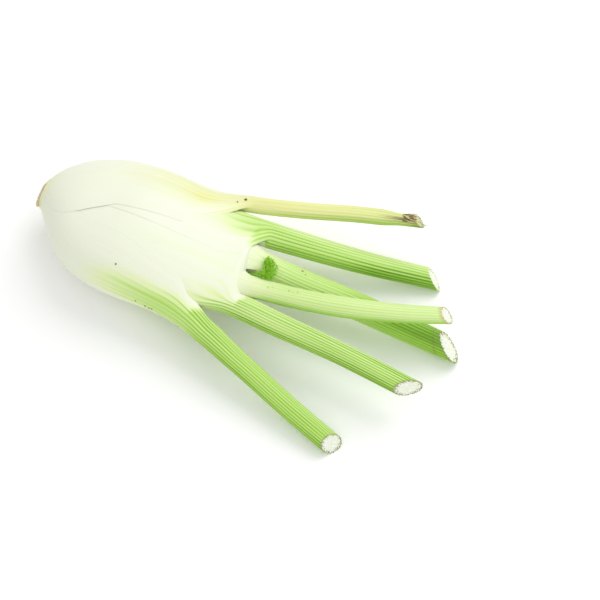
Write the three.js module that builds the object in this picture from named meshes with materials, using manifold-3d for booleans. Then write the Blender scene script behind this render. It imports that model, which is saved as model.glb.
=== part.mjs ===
// A trimmed fennel bulb lying on its broad side, in millimetres, +Z up. The cut root faces -X and the six
// cut stalks fan out towards +X. The origin is the middle of the small flat spot under the belly that the
// bulb rests on. Each leaf is one piece: a sheath that wraps the bulb, running into a ribbed stalk. The
// sheaths lie over each other in layers, like the leaves of an onion, and grow from a short white core on
// the root plate.
import * as THREE from "three";
import { mergeVertices } from "three/addons/utils/BufferGeometryUtils.js";
import Module from "manifold-3d";

const wasm = await Module();
wasm.setup();

// Driving dimensions of the bulb. x runs from near the root plate towards the stalks.
const HALF_WIDTH_LEFT = 46; // half width on the +Y side
const HALF_WIDTH_RIGHT = 46.7; // half width on the -Y side, which swells later along the bulb
const HALF_THICK = 26;
const ROOT_X = 2.5; // where the sheaths start
const ROOT_HALF_WIDTH = 11.5;
const ROOT_HALF_THICK = 6.8;
const ROOT_Y = 2.7; // the root sits a little to one side of the bulb's middle line
const CENTRE_Z = 25.6; // a little under HALF_THICK, so that the belly is cut flat by the surface it lies on
const REST_X = 50; // the middle of the flat spot

// Layers.
const MARGIN = 1.0; // thickness of a sheath at its thin edges
const LAYER_GAP = 0.8; // air between two sheaths
const CLEAR = 0.3; // air left between pieces that touch
const CORE_HALF_WIDTH = 13.4;
const CORE_HALF_THICK = 7.9;
const CORE_LENGTH = 42;

// Fineness of the mesh.
const OUTER_POINTS = 17; // points on the outer side of a leaf's cross-section
const INNER_POINTS = 11; // points on its inner side
const WRAP = 45; // degrees by which a sheath's margins run past the stalk's top and bottom, to its inner side
const RIB_DEPTH = 0.045; // share of a stalk's radius between a rib and a groove, each way

const clamp01 = (t) => Math.min(1, Math.max(0, t));
const smooth = (a, b, x) => {
  const t = clamp01((x - a) / (b - a));
  return t * t * (3 - 2 * t);
};
const mix = (a, b, t) => a + (b - a) * t;
const radians = (degrees) => (degrees * Math.PI) / 180;

// A rounded swell from 0 at x = 0 to 1 at x = length: bluntness under 1 rises steeply from the root.
const swell = (x, length, power, bluntness) =>
  Math.pow(1 - Math.pow(1 - clamp01(x / length), power), bluntness);

// The bulb's outer form: an ellipse at each x, a little wider on one side near the root.
const halfWidth = (x, side) =>
  side > 0
    ? mix(ROOT_HALF_WIDTH, HALF_WIDTH_LEFT, swell(x - ROOT_X, 75, 3.3, 1.07)) - 2 * smooth(70, 110, x)
    : mix(ROOT_HALF_WIDTH, HALF_WIDTH_RIGHT, swell(x - ROOT_X, 85, 3.3, 1.25));
const halfThick = (x) =>
  mix(ROOT_HALF_THICK, HALF_THICK, swell(x - ROOT_X, 38, 1.96, 0.65)) - 14 * smooth(62, 140, x);
const centreY = (x) => ROOT_Y * (1 - smooth(ROOT_X, ROOT_X + 33, x));
const centreZ = (x) => CENTRE_Z + 0.5 * smooth(70, 130, x);
const girth = (x) => (halfWidth(x, 1) + halfWidth(x, -1)) / (HALF_WIDTH_LEFT + HALF_WIDTH_RIGHT);

// The point at angle phi, from +Y towards +Z, and at a depth under the bulb's outer form. Towards the
// flanks the depth counts for less in height, so that the layers inside stay as flat as the bulb itself.
function bulbPoint(x, phi, depth) {
  const [c, s] = [Math.cos(phi), Math.sin(phi)];
  const [wide, thick] = [halfWidth(x, c), halfThick(x)];
  const lower = depth * mix(Math.min(1, thick / wide), 1, s * s);
  return new THREE.Vector3(x, centreY(x) + (wide - depth) * c, centreZ(x) + (thick - lower) * s);
}

// The leaves, outermost first. side is +1 where the midrib lies towards +Y. thick is the sheath's
// thickness at the midrib. over and under are the sheath's reach from the midrib over the top face and the
// underside, in degrees, at the x beside them. from is where the sheath starts, neck where it runs into
// the stalk, and lip where its upper margin does, which covers the leaves inside for longer. path is the
// stalk's middle line, halfWide its half width at the x beside it, and flatness its height as a share of
// that. cut leans the cut end's face sideways and upwards.
const LEAVES = [
  {
    name: "leaf_outer_left",
    side: 1,
    thick: 7,
    over: [[20, 132], [32, 121], [45, 106], [58, 94], [100, 83]],
    under: [[0, 70]],
    from: 2.9,
    neck: [84, 124],
    lip: [96, 128],
    path: [[80, 41, 28], [118, 42.2, 30], [153, 49.8, 32], [189, 61.1, 33], [223.7, 71.5, 32]],
    halfWide: [[124, 5.5], [203, 5.1], [212, 3.9], [224, 3.8]],
    flatness: 0.86,
    cut: [-0.15, 1.0],
    color: "#dfe088",
  },
  {
    name: "leaf_outer_right",
    side: -1,
    thick: 7.5,
    over: [[15, 67], [72, 65], [97, 58], [116, 54.6], [130, 48]],
    under: [[0, 105]],
    from: 2.9,
    neck: [88, 136],
    lip: [110, 139],
    path: [[80, -42, 26], [125, -43.5, 24], [163, -54.7, 18], [200, -66.2, 11], [228.5, -74.1, 5.8]],
    halfWide: [[136, 7.4], [163, 6.4], [228, 6.2]],
    flatness: 0.85,
    cut: [-0.3, 0.8],
    color: "#b5d965",
  },
  {
    name: "leaf_middle_left",
    side: 1,
    thick: 8,
    over: [[20, 100], [104, 94], [124, 92.5], [131, 89], [137, 84.5], [140, 80.5]],
    under: [[0, 95]],
    from: 6.5,
    neck: [92, 138],
    lip: [136, 145],
    path: [[80, 31, 27], [126, 27.4, 28], [164, 32.6, 23], [205, 42.6, 13.5], [243.4, 53, 6.2]],
    halfWide: [[138, 8.5], [160, 8], [185, 7.6], [243, 6.6]],
    flatness: 0.84,
    cut: [-0.32, 0.9],
    color: "#a9d76c",
  },
  {
    name: "leaf_middle_right",
    side: -1,
    thick: 8.5,
    over: [[20, 100], [120, 115]],
    under: [[0, 95]],
    from: 8.5,
    neck: [95, 142],
    lip: [138, 147],
    path: [[80, -31, 27], [137, -24.9, 27.5], [175, -26.9, 27], [214, -29.6, 27], [257.5, -34.2, 26]],
    halfWide: [[142, 7.5], [175, 7.2], [214, 6.4], [257, 6.2]],
    flatness: 0.85,
    cut: [-0.95, 0.5],
    color: "#b7de7a",
  },
  {
    name: "leaf_inner_left",
    side: 1,
    thick: 10,
    over: [[0, 112]],
    under: [[0, 100]],
    from: 10.5,
    neck: [98, 148],
    lip: [118, 154],
    path: [[80, 18, 27], [141, 7.6, 27.5], [172, 8, 21.5], [205, 9.8, 16.3], [237, 9.7, 12.2], [268, 9.7, 8.6]],
    halfWide: [[148, 8.8], [205, 8.7], [268, 7.6]],
    flatness: 0.8,
    cut: [-0.5, 1.2],
    color: "#a6d169",
  },
  {
    name: "leaf_inner_right",
    side: -1,
    thick: 10,
    over: [[0, 112]],
    under: [[0, 100]],
    from: 12.5,
    neck: [100, 150],
    lip: [110, 152],
    path: [[80, -20, 26], [148, -11.6, 29.8], [180, -8.7, 31.9], [210, -3, 33], [237, 5.6, 32.5],
      [261.8, 15.8, 31.5]],
    halfWide: [[138, 8], [148, 6.9], [158, 6.3], [205, 6.3], [262, 5.1]],
    flatness: 0.87,
    cut: [0.05, 0.9],
    color: "#d3e896",
  },
];

// A value given at some x, with straight lines between.
function along(table, x) {
  if (x <= table[0][0]) return table[0][1];
  for (let i = 1; i < table.length; i++)
    if (x <= table[i][0])
      return mix(table[i - 1][1], table[i][1], (x - table[i - 1][0]) / (table[i][0] - table[i - 1][0]));
  return table[table.length - 1][1];
}

// The angle from a leaf's midrib, as a share of its reach: 0 at the midrib, 1 and -1 at its two margins.
const reachOf = (leaf, x, local) => radians(along(local > 0 ? leaf.over : leaf.under, x));
const localAngle = (leaf, phi) => {
  const a = leaf.side > 0 ? phi : Math.PI - phi;
  return Math.atan2(Math.sin(a), Math.cos(a));
};

// A sheath is thickest at its midrib and thins out to its margins, and its lip is thinner than the rest.
const sheathThickness = (leaf, x, t) =>
  girth(x) * leaf.thick * Math.pow(Math.max(0, Math.cos((t * Math.PI) / 2)), 1.2) *
    (1 - 0.5 * smooth(95, 136, x) * smooth(0, 0.5, t)) +
  Math.max(0.6, girth(x)) * MARGIN;

// How far a leaf pushes the layers under it inwards. Past its margins they swell back out.
function layerDepth(leaf, x, phi) {
  const local = localAngle(leaf, phi);
  const t = local / reachOf(leaf, x, local);
  const past = 1 - smooth(1, 1.35, Math.abs(t));
  return (sheathThickness(leaf, x, Math.max(-1, Math.min(1, t))) + LAYER_GAP * girth(x)) * past;
}
const depthUnder = (count, x, phi) => {
  let depth = 0;
  for (let i = 0; i < count; i++) depth += layerDepth(LEAVES[i], x, phi);
  return depth;
};

// A stalk's middle line: y and z as smooth functions of x through the given points.
function pathPoint(points, x) {
  let i = 0;
  while (i < points.length - 2 && x > points[i + 1][0]) i++;
  const slope = (k, axis) => {
    const a = points[Math.max(0, k - 1)];
    const b = points[Math.min(points.length - 1, k + 1)];
    return (b[axis] - a[axis]) / (b[0] - a[0]);
  };
  const [p, q] = [points[i], points[i + 1]];
  const run = q[0] - p[0];
  const t = (x - p[0]) / run;
  const hermite = (axis) =>
    (2 * t ** 3 - 3 * t ** 2 + 1) * p[axis] +
    (t ** 3 - 2 * t ** 2 + t) * run * slope(i, axis) +
    (3 * t ** 2 - 2 * t ** 3) * q[axis] +
    (t ** 3 - t ** 2) * run * slope(i + 1, axis);
  return new THREE.Vector3(x, hermite(1), hermite(2));
}

// The middle line's point, its direction, and the stalk's sideways and upward axes there.
function pathFrame(points, x, side) {
  const step = 0.5;
  const centre = pathPoint(points, x);
  const ahead = pathPoint(points, x + step).sub(pathPoint(points, x - step)).normalize();
  const out = new THREE.Vector3(0, 0, 1).cross(ahead).multiplyScalar(side).normalize();
  const up = ahead.clone().cross(out).multiplyScalar(side).normalize();
  return { centre, ahead, out, up };
}

// How far a leaf has turned from sheath into stalk, later on at its upper margin than elsewhere.
function neckBlend(leaf, x, t) {
  const late = smooth(0, 0.7, t);
  return smooth(mix(leaf.neck[0], leaf.lip[0], late), mix(leaf.neck[1], leaf.lip[1], late), x);
}

// One cross-section of a leaf: the outer side from the lower margin to the upper one, then the inner side
// back. Up to the neck it is a crescent in the bulb's layers, past it the ribbed round of the stalk, and
// between the two it turns from one into the other.
function leafRing(index, x, last) {
  const leaf = LEAVES[index];
  const frame = pathFrame(leaf.path, x, leaf.side);
  const wide = along(leaf.halfWide, x);
  const high = wide * leaf.flatness;
  const ring = [];
  for (let j = 0; j < OUTER_POINTS + INNER_POINTS; j++) {
    const outer = j < OUTER_POINTS;
    const k = j - OUTER_POINTS;
    const t = outer ? -1 + (2 * j) / (OUTER_POINTS - 1) : 1 - (2 * k) / (INNER_POINTS - 1);
    const local = t * reachOf(leaf, x, t);
    const phi = leaf.side > 0 ? local : Math.PI - local;
    const depth = depthUnder(index, x, phi) + (outer ? 0 : sheathThickness(leaf, x, t));
    const sheath = bulbPoint(x, phi, depth);
    const turn = outer
      ? mix(-90 - WRAP, 90 + WRAP, (j + 0.5) / OUTER_POINTS)
      : mix(90 + WRAP, 270 - WRAP, (k + 0.5) / INNER_POINTS);
    const rib = 1 + RIB_DEPTH * (j % 2 ? 1 : -1);
    const sideways = wide * Math.cos(radians(turn)) * rib;
    const upwards = high * Math.sin(radians(turn)) * rib;
    const lean = last ? leaf.cut[0] * sideways - leaf.cut[1] * upwards : 0;
    const stalk = frame.centre
      .clone()
      .addScaledVector(frame.out, sideways)
      .addScaledVector(frame.up, upwards)
      .addScaledVector(frame.ahead, lean);
    ring.push(sheath.lerp(stalk, neckBlend(leaf, x, t)));
  }
  return leaf.side > 0 ? ring : ring.reverse();
}

// The x of a leaf's cross-sections: close together where the bulb turns in to the root, through the neck
// and where the lip ends.
function leafStations(leaf) {
  const end = leaf.path[leaf.path.length - 1][0];
  const [start, last] = [leaf.neck[0], Math.max(leaf.neck[1], leaf.lip[1])];
  const stations = [0, 1.2, 4, 8.5, 15, 24, 35, 49, 64, 78].map((x) => x + leaf.from);
  const NECK_STEPS = 8;
  for (let i = 0; i < NECK_STEPS; i++) stations.push(mix(start, leaf.lip[1] - 6, i / (NECK_STEPS - 1)));
  stations.push(leaf.lip[1] - 4, leaf.lip[1] - 2, leaf.lip[1]);
  if (last > leaf.lip[1]) stations.push(last);
  const STALK_STEPS = 6;
  for (let i = 1; i <= STALK_STEPS; i++) stations.push(mix(last, end, i / STALK_STEPS));
  return stations.filter((x, i) => i === 0 || x > stations[i - 1] + 0.5);
}

// A closed surface through rings with as many points each, which run anticlockwise seen from +X. Its ends
// are flat.
function surfaceThrough(rings) {
  const n = rings[0].length;
  const vertices = rings.flat();
  const faces = [];
  const quad = (a, b, c, d) => faces.push(a, b, c, a, c, d);
  for (let i = 0; i + 1 < rings.length; i++)
    for (let j = 0; j < n; j++) {
      const k = (j + 1) % n;
      quad(i * n + j, i * n + k, (i + 1) * n + k, (i + 1) * n + j);
    }
  const cap = (start, facesAhead) => {
    const outline = vertices.slice(start, start + n).map((v) => new THREE.Vector2(v.y, v.z));
    for (const [a, b, c] of THREE.ShapeUtils.triangulateShape(outline, [])) {
      const turnsLeft = outline[b].clone().sub(outline[a]).cross(outline[c].clone().sub(outline[a])) > 0;
      if (turnsLeft === facesAhead) faces.push(start + a, start + b, start + c);
      else faces.push(start + a, start + c, start + b);
    }
  };
  cap(0, false);
  cap((rings.length - 1) * n, true);
  return surfaceOf(vertices, faces);
}

function surfaceOf(vertices, faces) {
  const geometry = new THREE.BufferGeometry();
  const numbers = vertices.flatMap((v) => v.toArray());
  geometry.setAttribute("position", new THREE.Float32BufferAttribute(numbers, 3));
  geometry.setIndex(faces);
  return geometry;
}

// A closed surface as a solid.
function solidOf(geometry) {
  geometry.deleteAttribute("normal");
  geometry.deleteAttribute("uv");
  const merged = mergeVertices(geometry, 1e-4);
  const vertProperties = merged.attributes.position.array;
  const triVerts = new Uint32Array(merged.index.array);
  return new wasm.Manifold(new wasm.Mesh({ numProp: 3, vertProperties, triVerts }));
}

// The same surface with each face moved outwards by at least as much: a corner moves until it has left
// every face around it far enough behind.
function grown(geometry, by) {
  const { position } = geometry.attributes;
  const index = geometry.index.array;
  const corner = (i) => new THREE.Vector3().fromBufferAttribute(position, i);
  const around = Array.from({ length: position.count }, () => []);
  for (let f = 0; f < index.length; f += 3) {
    const [a, b, c] = [corner(index[f]), corner(index[f + 1]), corner(index[f + 2])];
    const normal = b.sub(a).cross(c.sub(a)).normalize();
    for (let k = 0; k < 3; k++) around[index[f + k]].push(normal);
  }
  const wider = geometry.clone();
  const ROUNDS = 60;
  around.forEach((normals, i) => {
    const move = new THREE.Vector3();
    for (let round = 0; round < ROUNDS; round++)
      for (const normal of normals) move.addScaledVector(normal, Math.max(0, by - move.dot(normal)));
    move.clampLength(0, 4 * by).add(corner(i));
    wider.attributes.position.setXYZ(i, move.x, move.y, move.z);
  });
  return wider;
}

// The largest connected body of a solid: a cut can leave a loose scrap behind.
const largest = (solid) => solid.decompose().sort((a, b) => b.volume() - a.volume())[0];

function leafSurface(index) {
  const stations = leafStations(LEAVES[index]);
  return surfaceThrough(stations.map((x, i) => leafRing(index, x, i === stations.length - 1)));
}

// The short stem that the leaves grow from: a corky plate outside and a white core that tapers into the
// bulb. Each pair is an x and the share of the core's half width and thickness there.
const CORE_PROFILE = [[-0.1, 0.62], [0.5, 0.8], [1.6, 0.9], [2.7, 0.86], [5.5, 0.98], [11, 1], [19, 0.9],
  [28, 0.7], [37, 0.4]];
function coreSurface() {
  const SIDES = 20;
  const rings = CORE_PROFILE.map(([x, share]) => {
    const ring = [];
    for (let j = 0; j < SIDES; j++) {
      const a = (j / SIDES) * 2 * Math.PI;
      const knobbly = x < ROOT_X ? 1 + 0.05 * Math.sin(5 * a + x) + 0.03 * Math.sin(9 * a) : 1;
      ring.push(
        new THREE.Vector3(
          x,
          centreY(x) + CORE_HALF_WIDTH * share * knobbly * Math.cos(a),
          centreZ(x) + CORE_HALF_THICK * share * knobbly * Math.sin(a),
        ),
      );
    }
    return ring;
  });
  const tip = new THREE.Vector3(CORE_LENGTH, centreY(CORE_LENGTH), centreZ(CORE_LENGTH));
  return pointedSurface([...rings, [tip]]);
}

// As surfaceThrough, for a body whose last ring is one point and whose first is a flat convex end.
function pointedSurface(rings) {
  const n = rings[0].length;
  const body = rings.slice(0, -1);
  const vertices = [...body.flat(), rings[rings.length - 1][0]];
  const tip = vertices.length - 1;
  const faces = [];
  for (let i = 0; i + 1 < body.length; i++)
    for (let j = 0; j < n; j++) {
      const k = (j + 1) % n;
      faces.push(i * n + j, (i + 1) * n + k, (i + 1) * n + j, i * n + j, i * n + k, (i + 1) * n + k);
    }
  const lastRing = (body.length - 1) * n;
  for (let j = 0; j < n; j++) faces.push(lastRing + j, lastRing + ((j + 1) % n), tip);
  for (let j = 1; j + 1 < n; j++) faces.push(0, j + 1, j);
  return surfaceOf(vertices, faces);
}

// The youngest leaf, folded up in the middle of the bulb. It fills the space inside the innermost sheath
// and thins to a slim stem between the two innermost stalks.
const HEART_PATH = [[60, 0, 26], [100, -2, 26.6], [128, -2.8, 26.8], [146, -3.6, 28.2]];
function heartSurface() {
  const SIDES = 16;
  const STATIONS = [12, 20, 32, 46, 60, 74, 86, 98, 108, 118, 130, 140.8];
  const rings = STATIONS.map((x) => {
    const blend = smooth(62, 116, x);
    const centre = pathPoint(HEART_PATH, x);
    const ring = [];
    for (let j = 0; j < SIDES; j++) {
      const a = ((j + 0.5) / SIDES) * 2 * Math.PI;
      const inside = bulbPoint(x, a, depthUnder(LEAVES.length, x, a));
      const stem = new THREE.Vector3(x, centre.y + 1.9 * Math.cos(a), centre.z + 2.6 * Math.sin(a));
      ring.push(inside.lerp(stem, blend));
    }
    return ring;
  });
  return surfaceThrough(rings);
}

// The feathery tip of the youngest leaf: a curved rib with forked side shoots of slim leaflets, out of the
// slit between the two innermost stalks and over the left one.
const FROND_RIB = [[141.6, -3.3, 28], [145.2, -3.4, 29.8], [148.8, -3.6, 31.6], [153.4, -3.9, 32.9],
  [157, -3, 33.8], [156.4, 0.7, 34.2], [154.2, 4.5, 34.8], [152, 7.5, 34.9]];
const LEAFLET_RADIUS = 0.6;
const SHOOT_PAIRS = 7;

// A repeatable run of numbers from 0 to 1.
function seededRandom(seed) {
  let state = seed;
  return () => {
    state = (state * 1664525 + 1013904223) % 4294967296;
    return state / 4294967296;
  };
}

// A slim leaflet: a pointed three-sided spike.
function spike(from, to, radius) {
  const ahead = to.clone().sub(from).normalize();
  const out = new THREE.Vector3(0.31, 0.12, 0.94).cross(ahead).normalize();
  const up = ahead.clone().cross(out);
  const ring = (centre, r) =>
    [0, 1, 2].map((k) =>
      centre
        .clone()
        .addScaledVector(out, r * Math.cos((k * 2 * Math.PI) / 3))
        .addScaledVector(up, r * Math.sin((k * 2 * Math.PI) / 3)),
    );
  return solidOf(pointedSurface([ring(from, radius), [to]]));
}

function frondSolid() {
  const random = seededRandom(7);
  const curve = new THREE.CatmullRomCurve3(FROND_RIB.map((p) => new THREE.Vector3(...p)));
  const SIDES = 5;
  const STEPS = 8;
  const rings = [];
  for (let i = 0; i <= STEPS; i++) {
    const t = i / STEPS;
    const centre = curve.getPoint(t);
    const ahead = curve.getTangent(t);
    const out = new THREE.Vector3(1, 0, 0).cross(ahead).normalize();
    const up = ahead.clone().cross(out);
    const radius = mix(1.1, 0.5, t);
    rings.push(
      Array.from({ length: SIDES }, (_, j) =>
        centre
          .clone()
          .addScaledVector(out, radius * Math.cos((j * 2 * Math.PI) / SIDES))
          .addScaledVector(up, radius * Math.sin((j * 2 * Math.PI) / SIDES)),
      ),
    );
  }
  let frond = solidOf(pointedSurface([...rings.slice(0, -1), [curve.getPoint(1)]]));
  for (let i = 0; i < SHOOT_PAIRS; i++) {
    const t = mix(0.42, 0.99, i / (SHOOT_PAIRS - 1));
    const root = curve.getPoint(t);
    const ahead = curve.getTangent(t);
    for (const hand of [-1, 1]) {
      const length = 5.2 * (1 - 0.45 * ((i / (SHOOT_PAIRS - 1)) * 2 - 0.7) ** 2) * mix(0.85, 1.1, random());
      const sideways = new THREE.Vector3(hand, 0, 0.12 + 0.25 * random());
      const aim = sideways.addScaledVector(ahead, 0.75).normalize();
      const tip = root.clone().addScaledVector(aim, length);
      frond = frond.add(spike(root, tip, LEAFLET_RADIUS));
      for (const [share, spread] of [[0.3, 0.8], [0.5, -0.8], [0.7, 0.7]]) {
        const fork = root.clone().lerp(tip, share);
        const leaflet = aim
          .clone()
          .addScaledVector(ahead, spread)
          .add(new THREE.Vector3(0, 0, 0.7 * random()))
          .normalize();
        const end = fork.clone().addScaledVector(leaflet, mix(2.2, 3, random()));
        frond = frond.add(spike(fork, end, LEAFLET_RADIUS));
      }
    }
  }
  return frond.trimByPlane([1, 0, 0], FROND_RIB[0][0] - CLEAR);
}

// The surface that the bulb lies on: what would reach below it is cut flat.
function underSurface() {
  const box = new THREE.BoxGeometry(600, 400, 40);
  box.translate(100, 0, -20);
  return solidOf(box);
}

// Every piece, cut clear of those outside it.
const ground = underSurface();
const core = coreSurface();
const coreCutter = solidOf(grown(core, CLEAR));
const pieces = new Map();
const cutters = [];
LEAVES.forEach((leaf, index) => {
  const surface = leafSurface(index);
  let solid = solidOf(surface).subtract(coreCutter).subtract(ground);
  for (const cutter of cutters) solid = solid.subtract(cutter);
  pieces.set(leaf.name, [largest(solid), leaf.color]);
  cutters.push(solidOf(grown(surface, CLEAR)));
});
let heart = solidOf(heartSurface()).subtract(coreCutter);
for (const cutter of cutters) heart = heart.subtract(cutter);
pieces.set("heart_leaf", [largest(heart), "#eef2cf"]);
let frond = frondSolid();
for (const cutter of cutters) frond = frond.subtract(cutter);
pieces.set("heart_frond", [largest(frond), "#5fae2a"]);
pieces.set("root_plate", [solidOf(core), "#cdb98a"]);

const fennel = new THREE.Group();
for (const [name, [solid, color]] of pieces) {
  const { vertProperties, triVerts } = solid.getMesh();
  const geometry = new THREE.BufferGeometry();
  geometry.setAttribute("position", new THREE.BufferAttribute(vertProperties, 3));
  geometry.setIndex(new THREE.BufferAttribute(triVerts, 1));
  geometry.translate(-REST_X, 0, 0);
  geometry.computeVertexNormals();
  const material = new THREE.MeshStandardMaterial({ color, roughness: 0.45, metalness: 0 });
  const mesh = new THREE.Mesh(geometry, material);
  mesh.name = name;
  fennel.add(mesh);
}

export default fennel;
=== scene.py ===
"""A trimmed fennel bulb lying on its broad side: six leaves, each a white sheath running into a ribbed green
stalk, the young heart leaf with its feathery tip, and the corky root plate.

Shapes are worked out in millimetres from the root plate, x towards the stalks, y to the left and z up from
the ground, and go into the meshes in metres with x = 0 over the spot that the bulb rests on.
"""

import math

import bpy
import numpy as np
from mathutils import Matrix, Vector


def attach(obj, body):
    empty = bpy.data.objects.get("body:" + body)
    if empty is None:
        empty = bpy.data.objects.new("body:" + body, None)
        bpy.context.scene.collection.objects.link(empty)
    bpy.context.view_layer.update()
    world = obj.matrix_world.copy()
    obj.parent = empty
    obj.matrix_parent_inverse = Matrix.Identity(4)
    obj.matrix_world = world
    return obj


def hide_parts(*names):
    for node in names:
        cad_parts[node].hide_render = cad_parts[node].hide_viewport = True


bl_info = {
    "name": "Fennel Bulb",
    "version": (1, 0, 0),
    "blender": (4, 5, 0),
    "location": "View3D > Sidebar > Fennel",
    "description": "Builds a trimmed fennel bulb with ribbed stalks and a feathery tuft",
    "category": "Add Mesh",
}

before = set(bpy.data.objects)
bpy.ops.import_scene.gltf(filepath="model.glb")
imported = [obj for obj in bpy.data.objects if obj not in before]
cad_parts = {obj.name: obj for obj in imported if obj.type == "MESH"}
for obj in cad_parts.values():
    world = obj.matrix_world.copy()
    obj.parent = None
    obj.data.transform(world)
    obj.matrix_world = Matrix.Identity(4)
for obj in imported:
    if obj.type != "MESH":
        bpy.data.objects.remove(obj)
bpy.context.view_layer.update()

MM = 0.001
REST_X = 50.0
ROOT_X = 2.5
ROOT_ASIDE = 2.7
MIDDLE_Z = 25.6
PICTURE_MIDDLE = (178.625, -5.23, 25.0)
LAYER_GAP = 0.08
MARGIN = 0.22
OUTER_POINTS = 228
INNER_POINTS = 48

# How far round the stalk a ring's outer side and inner side go, in degrees, and where its rounded margin
# starts, as a share of the reach.
OUTER_TURN = 134.4
INNER_TURN = 44.6
ROUNDED_FROM = 0.982

CUT_HOLLOW = 0.6
CUT_UNEVEN = 0.5
FLOOR_REACH = 3000

# The swells of the bulb's left side, right side and thickness: length, power and bluntness.
LEFT_SWELL = (75, 3.3, 1.07)
RIGHT_SWELL = (85, 3.3, 1.25)
THICK_SWELL = (38, 1.96, 0.65)
SHOULDER_FALL = 14

# Waves that are slow both ways, and ones that are quick round the leaf and slow along it.
SLOW_WAVES = ((3, 0.031, 1), (5, -0.047, 2.1), (2, 0.083, 3.7))
LONG_WAVES = ((17, 0.021, 1), (29, -0.033, 2.3), (43, 0.027, 4.1))

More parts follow.
